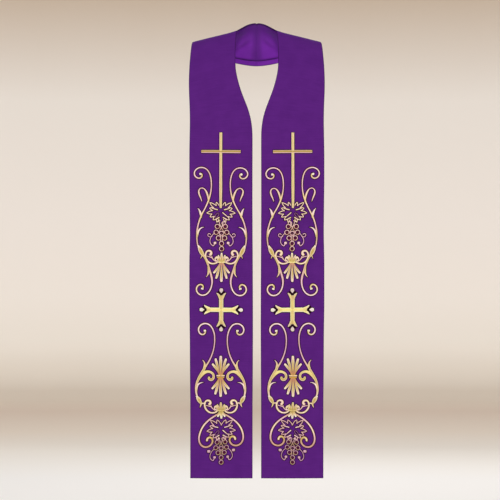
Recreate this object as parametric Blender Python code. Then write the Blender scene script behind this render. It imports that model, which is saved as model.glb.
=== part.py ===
"""A clerical stole, worn: two embroidered fronts hang from a band that goes round the back of the neck.

Lengths here are millimetres, and MM turns them into Blender's metres as each mesh is made.
The front faces -Y and +Z is up. The origin is midway between the shoulders, at the height of
the fold where each side of the neck meets a shoulder.

One half of the cloth is worked out, the wearer's left at +X, and the other is its mirror image.
A place on a half is given by `across`, 0 at the neck edge to 1 at the outer edge, by `run`, the
way along the cloth from the centre of the back to the hem, and by `proud`, the height above its
right side. A place on a front is given by `side` from its centre line and by `height` above the
ornament's foot.
"""

import math
from collections import namedtuple

import bmesh
import bpy
import numpy as np
from mathutils import Vector
from mathutils.geometry import delaunay_2d_cdt

MM = 0.001

# Cloth
FACE_WALL = 2.0  # silk, interlining and canvas together
LINING_WALL = 1.0
SEAM_GAP = 0.3
TURNED_MARGIN = 15.0  # face cloth turned to the back round the outer edge and the hem
NECK_MARGIN = 3.0
HEM_Z = -1306.0
ORNAMENT_FOOT = 6.0  # the line above the hem that the ornament's heights are measured from
ORNAMENT_X = 102.7  # the ornament's centre line

# Steps of the cloth's mesh
SHOULDER_RUN = 525.0  # past this run the cloth hangs straight
SHOULDER_STEPS = 28
HANG_STEPS = 16
CROSS_STEPS = 6
SOFTEN = 26.0  # each section is averaged with its neighbours this far along the cloth
NUDGE_RUN = 1.0  # the small steps that slopes are taken over
NUDGE_ACROSS = 0.01

# Embroidery
STITCH_FOOT = 0.3
STITCH_TOP = 1.5
BEND_STEP = 36.0  # degrees of turn in one straight piece of a stroke
LONGEST_STEP = 26.0
WELD_NEAR = 0.02
BLUNT_REACH = 0.5  # a stroke's blunt end, as shares of its half width
BLUNT_WIDTH = 0.5

# The cloth's sections from the centre of the back, over the shoulder and down to the hem. Each
# goes from the neck edge to the outer edge, and `crown` is how far its middle stands out.
Section = namedtuple("Section", "neck_x neck_y neck_z edge_x edge_y edge_z crown")
SECTIONS = (
    Section(0, 62, 29.5, 0, 95, -98.5, 3),
    Section(22, 59, 26, 40, 97, -93.5, 3),
    Section(40, 49, 16.5, 86, 97, -83, 3),
    Section(51, 34, 8.5, 131, 84, -73, 3),
    Section(56, 17, 4, 165, 56, -53, 2),
    Section(58, 0, 1.5, 186.5, 8, -29.5, 1),
    Section(60, -20, -12, 190.5, -25, -36, 3),
    Section(62, -42, -42, 193, -52, -60, 5),
    Section(62.5, -66, -80, 196.5, -72, -105, 6),
    Section(61.6, -82, -118, 198, -84, -148, 7),
    Section(54.8, -90, -150, 197.6, -92, -180, 8),
    Section(46.3, -96, -179, 196.3, -97, -207, 8),
    Section(35.2, -102, -208, 195.2, -100, -232, 8),
    Section(23.6, -108, -238, 194.7, -102, -256, 8),
    Section(15.8, -113, -268, 194.6, -103, -279, 8),
    Section(12.4, -117, -300, 195, -104, -300, 8),
    Section(12.4, -118, -360, 196.1, -104, -360, 8),
    Section(12.6, -117, -440, 196.1, -105, -440, 7),
    Section(12.6, -116, -516, 195.2, -105, -516, 7),
    Section(12.2, -115, -597, 194.4, -105, -597, 7),
    Section(11.8, -114, -675, 196, -105, -675, 7),
    Section(11.3, -113, -800, 196.1, -105, -800, 6),
    Section(11.2, -112, -882, 194.8, -106, -882, 6),
    Section(11.7, -112, -1010, 194, -106, -1010, 6),
    Section(12.3, -111, -1085, 193.2, -106, -1085, 6),
    Section(12.4, -110, HEM_Z, 193.2, -106, HEM_Z, 5),
    Section(12.4, -109, HEM_Z - 100, 193.2, -106, HEM_Z - 100, 5),
)
BEYOND_HEM = 1  # the last section only steadies the softening at the hem

# A stroke of satin stitch starts at (side, height) on a front and goes off at `heading`, where 0
# is outwards and 90 is up. Its arcs are (length, degrees turned to the left), and its widths are
# evenly spaced from end to end. It is drawn once, mirrored in the centre line, or on four arms.
Stroke = namedtuple("Stroke", "motif repeat side height heading widths arcs")
ONCE, PAIR, ARMS = "once", "pair", "arms"
CROSS_CENTRE = 483.0
FAN_CENTRE = 290.5
STROKES = (
    Stroke("tall_cross", ONCE, 1, 997.5, -90, (9.6, 9.4, 9.4, 9.8, 7.6), ((217, 0),)),
    Stroke("tall_cross", PAIR, 0, 942, 0, (9.6, 9.6), ((58.5, 0),)),
    # upper scrolls: the stem, up to its volute
    Stroke("upper_scrolls", PAIR, 69, 669, 78,
           (5, 5.4, 6, 4.4, 4.6, 4, 4.6, 4.4, 3.8, 3.8, 4, 4, 4, 4, 4.2, 5.6),
           ((37, 17), (36.5, 15), (31.5, 11), (30.5, -10), (32, -13), (32, -15), (15.5, -12),
            (12.5, -19), (34, -82), (10.5, -31), (7.5, -30), (21, -87), (8.5, -52), (12, -91))),
    # bud on the stem, and the stem's way down from it
    Stroke("upper_scrolls", PAIR, 69, 670.5, -120, (6, 10, 12, 9.5, 5), ((36, 0),)),
    Stroke("upper_scrolls", PAIR, 57, 643, -80, (3.6, 2.6, 1), ((11, 24),)),
    Stroke("upper_scrolls", PAIR, 51.5, 640.7, -121, (6, 6, 5, 6.4, 4.4, 4, 4, 4.2, 4.2, 6),
           ((28.5, 12), (38.5, 5), (36.5, 38), (11, 17), (11, 25), (28.5, 88), (17, 62),
            (9.5, 45), (19, 149))),
    # hooked leaf and thorns
    Stroke("upper_scrolls", PAIR, 35.5, 796, 88, (4, 5.4, 5.8, 3.6, 3.4, 5, 4.6, 2),
           ((26, -19), (10.5, -18), (8, -34), (12, -78), (8, -37), (11.5, -17), (16, 9))),
    Stroke("upper_scrolls", PAIR, 57, 749, 85, (6, 7.5, 5, 1.4), ((20.5, -17), (9, -26))),
    Stroke("upper_scrolls", PAIR, 70.5, 696, 90, (6, 7, 5, 3.6, 1), ((20.5, 38), (16, 50))),
    Stroke("upper_scrolls", PAIR, 39, 609, -109, (5, 8, 7.5, 4.4, 1.4), ((20, 33), (15, 34))),
    # curl from the tie, and the twig inside it
    Stroke("upper_scrolls", PAIR, 13, 622, -37, (5, 4.8, 5.2, 6, 6, 5.6, 7, 9),
           ((26, 74), (21.5, 50), (9.5, 28), (14.5, 78), (16.5, 147))),
    Stroke("upper_scrolls", PAIR, 43.5, 641.4, -166, (2.4, 3, 5), ((15.5, 0),)),
    Stroke("upper_scrolls", PAIR, 28.5, 639, -105, (5, 3.4, 2.8), ((8, -25), (10, -20))),
    # crown, tie and hanging petals
    Stroke("upper_scrolls", ONCE, 0, 623, 90, (6, 8, 8, 5), ((24.5, 0),)),
    Stroke("upper_scrolls", PAIR, 3, 624, 70, (4, 6, 6, 3.6), ((19, 0),)),
    Stroke("upper_scrolls", PAIR, 5, 625, 105, (3, 4.6, 4.6, 4, 4), ((13, -69), (17.5, -164), (6, -58))),
    Stroke("upper_scrolls", PAIR, 0, 622.5, 0, (6.8, 5.4), ((12, 0),)),
    Stroke("upper_scrolls", ONCE, 0, 620.5, -90, (5, 5, 7, 9, 8.4), ((52.5, 0),)),
    Stroke("upper_scrolls", PAIR, 2.8, 621, -78, (3, 4, 6, 8.2, 7), ((46, 6),)),
    Stroke("upper_scrolls", PAIR, 4.6, 620.5, -71, (2.6, 3.8, 5.8, 7.6, 6.4), ((33.5, 23),)),
    # budded cross: one arm, its two flared tips and its bud
    Stroke("budded_cross", ARMS, 0, CROSS_CENTRE, 0, (13, 13, 12.6, 13, 14), ((37, 0),)),
    Stroke("budded_cross", ARMS, 33, CROSS_CENTRE + 3, 14, (7, 7, 5.4, 1.6), ((20, 42),)),
    Stroke("budded_cross", ARMS, 33, CROSS_CENTRE - 3, -14, (7, 7, 5.4, 1.6), ((20, -42),)),
    Stroke("budded_cross", ARMS, 36, CROSS_CENTRE, 0, (6, 6, 11, 12.4, 9), ((22.5, 0),)),
    # fan palmette
    Stroke("fan_palmette", PAIR, 0, FAN_CENTRE, 0, (7, 6), ((9.5, 0),)),
    Stroke("fan_palmette", ONCE, 0, FAN_CENTRE, 90, (5, 5.4, 7.4, 9, 7.4), ((56, 0),)),
    Stroke("fan_palmette", ONCE, 0, FAN_CENTRE, -90, (5, 5.4, 7.4, 9, 7.4), ((56.5, 0),)),
    Stroke("fan_palmette", PAIR, 2.6, FAN_CENTRE + 2, 79, (3, 4, 6, 7.8, 6.6), ((48.5, -7),)),
    Stroke("fan_palmette", PAIR, 2.6, FAN_CENTRE - 2, -79, (3, 4, 6, 7.8, 6.6), ((49.5, 7),)),
    Stroke("fan_palmette", PAIR, 4.4, FAN_CENTRE + 4, 73, (3, 4, 5.8, 7.4, 6.2), ((36, -28),)),
    Stroke("fan_palmette", PAIR, 4.4, FAN_CENTRE - 4, -73, (3, 4, 5.8, 7.4, 6.2), ((37, 28),)),
    # lower scrolls: the stem, its broad curl, thorns and bud
    Stroke("lower_scrolls", PAIR, 68, 231, 72,
           (5, 6.4, 7.6, 7, 7, 5, 4.2, 3.8, 3.8, 4, 4, 4, 4, 4.2, 5.8),
           ((34.5, 30), (26, 15), (30, 7), (15.5, -2), (77.5, -35), (26.5, -23), (10.5, -17),
            (36, -101), (18.5, -65), (9, -43), (19.5, -133))),
    Stroke("lower_scrolls", PAIR, 65.5, 278, 111, (6, 9, 10, 8.6, 7, 6.4, 7, 9.4),
           ((25.5, 30), (10, 21), (17, 53), (17, 74), (12, 81))),
    Stroke("lower_scrolls", PAIR, 50, 306, 117, (6, 8, 6, 3.6, 1.4), ((20.5, -33), (14, -48))),
    Stroke("lower_scrolls", PAIR, 70.5, 247, 88, (5, 7, 5, 3.4, 1), ((13, 21), (24.5, 77))),
    Stroke("lower_scrolls", PAIR, 69, 231.5, -124, (6, 10, 11, 8, 4.6), ((25, 8),)),
    Stroke("lower_scrolls", PAIR, 57.5, 214, -96, (5.4, 4, 1.4), ((15, 41),)),
    Stroke("lower_scrolls", PAIR, 58, 212.5, 180, (4.4, 4), ((13, 0),)),
    # curl from the tie, and the twig inside it
    Stroke("lower_scrolls", PAIR, 13, 187.5, -37, (5, 4.8, 5.2, 6, 6, 5.6, 7, 9),
           ((26, 74), (21.5, 50), (9.5, 28), (14.5, 78), (16.5, 147))),
    Stroke("lower_scrolls", PAIR, 43.5, 207.4, -166, (2.4, 3, 5), ((15.5, 0),)),
    Stroke("lower_scrolls", PAIR, 28.5, 205, -105, (5, 3.4, 2.8), ((8, -25), (10, -20))),
    # crown, tie and root petals
    Stroke("lower_scrolls", ONCE, 0, 190, 90, (6, 8, 8, 5), ((23, 0),)),
    Stroke("lower_scrolls", PAIR, 3, 190, 68, (4, 6, 6, 3.6), ((19, 0),)),
    Stroke("lower_scrolls", PAIR, 5, 191.5, 105, (3, 4.6, 4.6, 4, 4), ((13, -69), (17.5, -164), (6, -58))),
    Stroke("lower_scrolls", PAIR, 0, 190, 0, (6.8, 5.4), ((12, 0),)),
    Stroke("lower_scrolls", ONCE, 0, 188, -90, (5, 7, 7.4, 5), ((19.5, 0),)),
    Stroke("lower_scrolls", PAIR, 2.5, 188, -66, (4, 5.4, 6, 4), ((16, 0),)),
    # heart round the vine leaf
    Stroke("lower_scrolls", PAIR, 8, 180, -29, (5, 5.2, 5.2, 5.2, 5.2, 5.2, 5.4, 6.6),
           ((14, -2), (31.5, -14), (43, -37), (11.5, -18), (10.5, -24), (38.5, -113), (9, -33),
            (7.5, -39), (19.5, -144))),
)

# Colours, as sRGB
FACE_PURPLE = (0.345, 0.133, 0.478)
LINING_PURPLE = (0.431, 0.149, 0.588)
GOLD_THREAD = (0.871, 0.761, 0.478)


def clear_scene():
    for obj in list(bpy.data.objects):
        bpy.data.objects.remove(obj)


def linear(srgb):
    return tuple(c / 12.92 if c <= 0.04045 else ((c + 0.055) / 1.055) ** 2.4 for c in srgb)


def material(name, srgb, roughness, metallic=0.0):
    made = bpy.data.materials.new(name)
    made.use_nodes = True
    shader = made.node_tree.nodes["Principled BSDF"]
    shader.inputs["Base Color"].default_value = (*linear(srgb), 1)
    shader.inputs["Roughness"].default_value = roughness
    shader.inputs["Metallic"].default_value = metallic
    made.diffuse_color = (*linear(srgb), 1)
    return made


class Half:
    """The right side of one half of the cloth, as a smooth surface."""

    def __init__(self, sections):
        rows = np.array(sections, float)
        middles = (rows[:, 0:3] + rows[:, 3:6]) / 2
        steps = np.linalg.norm(np.diff(middles, axis=0), axis=1)
        runs = np.concatenate([[0], np.cumsum(steps)])
        other_half = rows[3:0:-1] * (-1, 1, 1, -1, 1, 1, 1)
        self.runs = np.concatenate([-runs[3:0:-1], runs])
        self.columns = np.concatenate([other_half, rows]).T
        self.hem_run = runs[-1 - BEYOND_HEM]
        self.offsets = np.linspace(-1, 1, 9) * SOFTEN
        hat = 1 - np.abs(self.offsets) / SOFTEN
        self.weights = hat / hat.sum()

    def section(self, run):
        """The neck end, the outer end and the crown of the cloth at this run."""
        near = run + self.offsets
        row = [np.interp(near, self.runs, column) @ self.weights for column in self.columns]
        return Vector(row[0:3]), Vector(row[3:6]), row[6]

    def width(self, run):
        neck, edge, _ = self.section(run)
        return (edge - neck).length

    def crowned(self, across, run):
        """A place on the right side, its middle standing out from the section's straight line."""
        neck, edge, crown = self.section(run)
        neck_on, edge_on, _ = self.section(run + NUDGE_RUN)
        neck_off, edge_off, _ = self.section(run - NUDGE_RUN)
        along = neck_on.lerp(edge_on, across) - neck_off.lerp(edge_off, across)
        out = along.cross(edge - neck).normalized()
        return neck.lerp(edge, across) + out * crown * 4 * across * (1 - across)

    def point(self, across, run, proud):
        """A place on the wearer's left half, in millimetres."""
        along = self.crowned(across, run + NUDGE_RUN) - self.crowned(across, run - NUDGE_RUN)
        over = self.crowned(across + NUDGE_ACROSS, run) - self.crowned(across - NUDGE_ACROSS, run)
        place = self.crowned(across, run) + along.cross(over).normalized() * proud
        return place + Vector((SEAM_GAP / 2, 0, 0))


HALF = Half(SECTIONS)


def solid(name, flat, low, high, place, is_left, cloth):
    """A wall whose flat plan is wrapped onto the cloth, from `low` to `high` above its right side."""
    grown = bmesh.ops.extrude_face_region(flat, geom=flat.faces[:])["geom"]
    for vertex in grown:
        if isinstance(vertex, bmesh.types.BMVert):
            vertex.co.z = 1
    for vertex in flat.verts:
        u, v, level = vertex.co
        spot = place(u, v, low + level * (high - low)) * MM
        vertex.co = spot if is_left else (-spot.x, spot.y, spot.z)
    bmesh.ops.recalc_face_normals(flat, faces=flat.faces)
    mesh = bpy.data.meshes.new(name)
    flat.to_mesh(mesh)
    flat.free()
    mesh.materials.append(cloth)
    mesh.shade_smooth()
    mesh.set_sharp_from_angle(angle=math.radians(40))
    obj = bpy.data.objects.new(name, mesh)
    bpy.context.scene.collection.objects.link(obj)
    return obj


def grid_plan(run_end):
    """A plan of quads, 0 to 1 across by run, closer together over the shoulder."""
    shoulder = np.linspace(0, SHOULDER_RUN, SHOULDER_STEPS + 1)
    hang = np.linspace(SHOULDER_RUN, HALF.hem_run, HANG_STEPS + 1)[1:-1]
    plan = bmesh.new()
    rows = []
    for run in (*shoulder, *hang, run_end):
        rows.append([plan.verts.new((i / CROSS_STEPS, run, 0)) for i in range(CROSS_STEPS + 1)])
    for near, far in zip(rows, rows[1:]):
        for i in range(CROSS_STEPS):
            plan.faces.new((near[i], near[i + 1], far[i + 1], far[i]))
    return plan


def make_band(name, is_left, cloth):
    """The face cloth of one half, from the seam at the centre of the back to the hem."""
    solid(name, grid_plan(HALF.hem_run), -FACE_WALL, 0, HALF.point, is_left, cloth)


def make_lining(name, is_left, cloth):
    """The lining, set back from the outer edge and the hem by the turned margin."""

    def place(u, run, proud):
        width = HALF.width(run)
        across = min(max(u, NECK_MARGIN / width), 1 - TURNED_MARGIN / width)
        return HALF.point(across, run, proud)

    top = -FACE_WALL - SEAM_GAP
    plan = grid_plan(HALF.hem_run - TURNED_MARGIN)
    solid(name, plan, top - LINING_WALL, top, place, is_left, cloth)


def on_front(side, height, proud):
    """A place on a front, from its centre line and the ornament's foot."""
    run = HALF.hem_run - ORNAMENT_FOOT - height
    inset = ORNAMENT_X - HALF.section(run)[0].x
    return HALF.point((inset + side) / HALF.width(run), run, proud)


def walked(stroke):
    """The stroke's stations, as (side, height, heading, run)."""
    side, height, heading = stroke.side, stroke.height, math.radians(stroke.heading)
    run = 0.0
    stations = [(side, height, heading, run)]
    for length, turn in stroke.arcs:
        count = max(1, math.ceil(abs(turn) / BEND_STEP), math.ceil(length / LONGEST_STEP))
        step, bend = length / count, math.radians(turn) / count
        for _ in range(count):
            side += step * math.cos(heading + bend / 2)
            height += step * math.sin(heading + bend / 2)
            heading += bend
            run += step
            stations.append((side, height, heading, run))
    return stations


def stroke_quads(stroke):
    """The four-sided pieces of a stroke, with a blunt round end."""
    stations = walked(stroke)
    spread = np.linspace(0, stations[-1][3], len(stroke.widths))
    pairs = []
    for side, height, heading, run in stations:
        reach = np.interp(run, spread, stroke.widths) / 2
        pairs.append((side, height, heading, reach))
    side, height, heading, reach = pairs[-1]
    side += reach * BLUNT_REACH * math.cos(heading)
    height += reach * BLUNT_REACH * math.sin(heading)
    pairs.append((side, height, heading, reach * BLUNT_WIDTH))
    edges = []
    for side, height, heading, reach in pairs:
        over = Vector((-math.sin(heading), math.cos(heading))) * reach
        middle = Vector((side, height))
        edges.append((middle + over, middle - over))
    return [(a, b, d, c) for (a, b), (c, d) in zip(edges, edges[1:])]


def repeated(stroke, quads):
    """The stroke's pieces and their copies, mirrored in the centre line or on the four arms."""
    if stroke.repeat == PAIR:
        return quads + [[Vector((-p.x, p.y)) for p in reversed(quad)] for quad in quads]
    if stroke.repeat == ARMS:
        middle = Vector((0, CROSS_CENTRE))
        copies = []
        for x_of_x, x_of_y in ((1, 0), (0, -1), (-1, 0), (0, 1)):
            for quad in quads:
                arm = [p - middle for p in quad]
                turned = [(x_of_x * p.x + x_of_y * p.y, x_of_x * p.y - x_of_y * p.x) for p in arm]
                copies.append([Vector(p) + middle for p in turned])
        return copies
    return quads


def stroke_plan(strokes):
    """The union of the strokes' pieces, as a flat plan."""
    corners, faces = [], []
    for stroke in strokes:
        for quad in repeated(stroke, stroke_quads(stroke)):
            faces.append(range(len(corners), len(corners) + 4))
            corners.extend(quad)
    points, _, triangles, _, _, within = delaunay_2d_cdt(corners, [], faces, 1, WELD_NEAR, True)
    plan = bmesh.new()
    vertices = [plan.verts.new((*point, 0)) for point in points]
    for triangle, sources in zip(triangles, within):
        if sources:
            plan.faces.new([vertices[i] for i in triangle])
    loose = [vertex for vertex in vertices if not vertex.link_faces]
    bmesh.ops.delete(plan, geom=loose, context="VERTS")
    inner = [vertex for vertex in plan.verts if not vertex.is_boundary]
    bmesh.ops.dissolve_verts(plan, verts=inner)
    bmesh.ops.triangulate(plan, faces=plan.faces)
    return plan


def make_motif(name, motif, is_left, thread):
    """One raised piece of embroidery, lying on the front."""
    plan = stroke_plan([stroke for stroke in STROKES if stroke.motif == motif])
    solid(name, plan, STITCH_FOOT, STITCH_TOP, on_front, is_left, thread)


def main():
    clear_scene()
    for half in ("left", "right"):
        is_left = half == "left"
        face = material(f"{half}_face_silk", FACE_PURPLE, 0.75)
        make_band(f"{half}_band", is_left, face)
        lining = material(f"{half}_lining_satin", LINING_PURPLE, 0.4)
        make_lining(f"{half}_lining", is_left, lining)
        for motif in dict.fromkeys(stroke.motif for stroke in STROKES):
            thread = material(f"{half}_{motif}_thread", GOLD_THREAD, 0.45)
            make_motif(f"{half}_{motif}", motif, is_left, thread)


main()
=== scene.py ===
"""Dresses the worn clerical stole: silk bands, satin linings and raised satin-stitch embroidery.

Lengths are millimetres, and MM turns them into Blender's metres as each mesh is made. One half of
the cloth is worked out for both sides, and a place on it is given by `across`, 0 at the neck edge
to 1 at the outer edge, by `run`, the way along the cloth from the centre of the back to the hem,
and by `proud`, the height above its right side. A place on a front is given by `side` from its
centre line and by `height` above the ornament's foot.
"""

import math
from collections import namedtuple

import bmesh
import bpy
import numpy as np
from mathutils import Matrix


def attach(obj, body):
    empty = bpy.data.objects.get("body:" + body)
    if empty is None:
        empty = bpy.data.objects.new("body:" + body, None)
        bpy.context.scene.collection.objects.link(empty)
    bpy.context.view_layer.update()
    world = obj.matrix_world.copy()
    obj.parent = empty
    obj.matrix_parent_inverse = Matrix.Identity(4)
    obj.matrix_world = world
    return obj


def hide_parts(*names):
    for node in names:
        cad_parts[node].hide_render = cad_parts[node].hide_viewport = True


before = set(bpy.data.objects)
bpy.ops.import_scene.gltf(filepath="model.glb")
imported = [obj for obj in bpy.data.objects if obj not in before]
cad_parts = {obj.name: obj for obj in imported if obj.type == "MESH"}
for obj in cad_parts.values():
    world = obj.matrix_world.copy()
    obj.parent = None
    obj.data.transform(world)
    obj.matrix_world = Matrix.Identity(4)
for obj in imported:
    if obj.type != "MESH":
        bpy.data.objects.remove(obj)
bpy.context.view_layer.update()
bpy.ops.object.select_all(action="DESELECT")

MM = 0.001
BODY = "root"

# Cloth
FACE_WALL = 2.0  # silk, interlining and canvas together
LINING_WALL = 1.0
LINING_GAP = 0.3
TURNED_MARGIN = 15.0  # face cloth turned to the back round the outer edge and the hem
NECK_MARGIN = 3.0
HEM_Z = -1306.0
ORNAMENT_FOOT = 6.0  # the line above the hem that the ornament's heights are measured from
ORNAMENT_X = 102.7  # the centre line of each front's ornament
SOFTEN = 26.0  # how far the bends between the sections reach
RUN_STEP = 4.5  # between rows of points along the cloth
CROSS_COUNT = 36  # points across it between its rims
RIM = (0, 0.12, 0.4, 0.9, 2.2, 5)  # rows of points close together round each folded edge
TURN_RIDGE = 0.25  # the turned margin lifts the right side by this much
NOTCH_DROP = 2.0  # the dip in the neck edge at the centre of the back
NOTCH_REACH = 3.5

# The cloth's sections from the centre of the back, over the shoulder and down to the hem. Each
# goes from the neck edge to the outer edge, and `crown` is how far its middle stands out.
Section = namedtuple("Section", "neck_x neck_y neck_z edge_x edge_y edge_z crown")
SECTIONS = (
    Section(0, 62, 29.5, 0, 95, -98.5, 3),
    Section(22, 59, 26, 40, 97, -93.5, 3),
    Section(40, 49, 16.5, 86, 97, -83, 3),
    Section(51, 34, 8.5, 131, 84, -73, 3),
    Section(56, 17, 4, 165, 56, -53, 2),
    Section(58, 0, 1.5, 186.5, 8, -29.5, 1),
    Section(60, -20, -12, 190.5, -25, -36, 3),
    Section(62, -42, -42, 193, -52, -60, 5),
    Section(62.5, -66, -80, 196.5, -72, -105, 6),
    Section(61.6, -82, -118, 198, -84, -148, 7),
    Section(54.8, -90, -150, 197.6, -92, -180, 8),
    Section(46.3, -96, -179, 196.3, -97, -207, 8),
    Section(35.2, -102, -208, 195.2, -100, -232, 8),
    Section(23.6, -108, -238, 194.7, -102, -256, 8),
    Section(15.8, -113, -268, 194.6, -103, -279, 8),
    Section(12.4, -117, -300, 195, -104, -300, 8),
    Section(12.4, -118, -360, 196.1, -104, -360, 8),
    Section(12.6, -117, -440, 196.1, -105, -440, 7),
    Section(12.6, -116, -516, 195.2, -105, -516, 7),
    Section(12.2, -115, -597, 194.4, -105, -597, 7),
    Section(11.8, -114, -675, 196, -105, -675, 7),
    Section(11.3, -113, -800, 196.1, -105, -800, 6),
    Section(11.2, -112, -882, 194.8, -106, -882, 6),
    Section(11.7, -112, -1010, 194, -106, -1010, 6),
    Section(12.3, -111, -1085, 193.2, -106, -1085, 6),
    Section(12.4, -110, HEM_Z, 193.2, -106, HEM_Z, 5),
    Section(12.4, -109, HEM_Z - 100, 193.2, -106, HEM_Z - 100, 5),
)
BEYOND_HEM = 1  # sections past the hem, which keep the cloth straight there

# A crease is a soft trough, or a ridge where its depth is above 0. `heading` is the way it runs:
# 0 is outwards across the cloth and 90 is on towards the hem. `length` and `breadth` are its
# half sizes.
Crease = namedtuple("Crease", "across run heading length breadth depth")
FACE_CREASES = {
    "left": (
        Crease(0.30, 262, 62, 70, 17, -1.1),
        Crease(0.62, 330, 80, 90, 20, 0.8),
        Crease(0.14, 395, 58, 60, 13, -0.9),
        Crease(0.72, 520, 86, 170, 24, -0.8),
        Crease(0.35, 760, 92, 240, 30, 0.9),
        Crease(0.70, 1120, 88, 260, 34, -0.9),
        Crease(0.22, 1290, 84, 200, 26, -0.7),
        Crease(0.55, 70, 8, 60, 20, -1.2),
    ),
    "right": (
        Crease(0.34, 250, 66, 64, 18, -1.0),
        Crease(0.58, 345, 84, 84, 22, 0.7),
        Crease(0.12, 410, 60, 66, 12, -0.8),
        Crease(0.66, 560, 92, 190, 26, 0.8),
        Crease(0.30, 830, 86, 230, 28, -0.9),
        Crease(0.74, 1060, 93, 240, 30, 0.8),
        Crease(0.40, 1340, 88, 210, 32, -0.8),
        Crease(0.60, 60, -6, 55, 22, -1.1),
    ),
}
LINING_CREASES = {
    "left": (
        Crease(0.50, 38, 45, 26, 7, -2.0),
        Crease(0.16, 50, 80, 24, 9, -1.6),
        Crease(0.66, 28, 60, 26, 9, 0.5),
        Crease(0.80, 120, 5, 60, 12, -1.2),
        Crease(0.30, 700, 90, 260, 18, -1.4),
        Crease(0.66, 1080, 87, 300, 20, -1.5),
        Crease(0.48, 1380, 94, 160, 16, -1.2),
    ),
    "right": (
        Crease(0.52, 40, 47, 27, 7, -2.0),
        Crease(0.18, 52, 78, 24, 9, -1.6),
        Crease(0.68, 27, 62, 26, 9, 0.5),
        Crease(0.78, 110, 8, 60, 13, -1.2),
        Crease(0.36, 640, 88, 240, 17, -1.4),
        Crease(0.60, 1010, 93, 280, 22, -1.5),
        Crease(0.44, 1420, 89, 150, 15, -1.2),
    ),
}
LINING_LIFT = -0.6  # the lining's slack, away from the band
LINING_HELD = 9.0  # near its edge the lining is held flat

# A stroke of satin stitch starts at (side, height) on a front and goes off at `heading`, where 0
# is outwards and 90 is up. Its arcs are (length, degrees turned to the left), and its widths are
# evenly spaced from end to end. It is drawn once, mirrored in the centre line, or on four arms,
# in a `thread` of THREADS, and ends in a half circle but where `square` says otherwise. Most arcs
# of the longer scrolls and of the heart are fitted numbers, not chosen ones.
Stroke = namedtuple("Stroke", "repeat side height heading widths arcs thread square",
                    defaults=("line", ()))
ONCE, PAIR, ARMS = "once", "pair", "arms"
START, END = "start", "end"
CROSS_CENTRE = 483.0
FAN_CENTRE = 290.5
# The palmette's rays: how they repeat, side, distance from its centre, heading, widths, the lengths
# of the upper and the lower one, and turn
RAYS = (
    (ONCE, 0, 0, 90, (5, 5.4, 7.4, 9, 7.4), (56, 56.5), 0),
    (PAIR, 2.6, 2, 79, (3, 4, 6, 7.8, 6.6), (48.5, 49.5), -7),
    (PAIR, 4.4, 4, 73, (3, 4, 5.8, 7.4, 6.2), (36, 37), -28),
)
CROWN_LEAN = 22  # degrees from a crown's inner side petals to its outer ones
TWIG_DROP = 2.4  # from the twig's first stroke to its second


def tie_curl(height, twig):
    """The curl from a tie at `height`, and the twig inside it."""
    return (
        Stroke(PAIR, 13, height, -37, (5.2, 5, 5.4, 6, 5.6, 5, 6.4, 8.4),
               ((26, 74), (21.5, 50), (10, 28), (14, 90), (12, 120))),
        Stroke(PAIR, 43, twig, -166, (2.4, 2.8, 4), ((15, 0),), "twig"),
        Stroke(PAIR, 28.5, twig - TWIG_DROP, -105, (4.4, 3.2, 2.8), ((7, -25), (10, -20)), "twig"),
    )


def crown(heights, tallest, heading, thread):
    """The petals that stand on a tie, the middle one `tallest` long, between two loops."""
    middle, side, loop = heights
    return (
        Stroke(ONCE, 0, middle, 90, (6, 8, 8, 5), ((tallest, 0),), thread),
        Stroke(PAIR, 3, side, heading, (4, 6, 6, 3.6), ((19, 0),), thread),
        Stroke(PAIR, 4, side, heading - CROWN_LEAN, (4, 6.4, 6, 4), ((16.5, 0),), thread),
        Stroke(PAIR, 5, loop, 105, (3, 4.6, 4.6, 4, 4), ((13, -69), (17.5, -164), (6, -58))),
    )


def rays():
    """The palmette's rays, each with its like below."""
    return [Stroke(repeat, side, FAN_CENTRE + way * off, way * heading, widths,
                   ((length, way * turn),), "ray")
            for repeat, side, off, heading, widths, lengths, turn in RAYS
            for way, length in zip((1, -1), lengths)]


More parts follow.
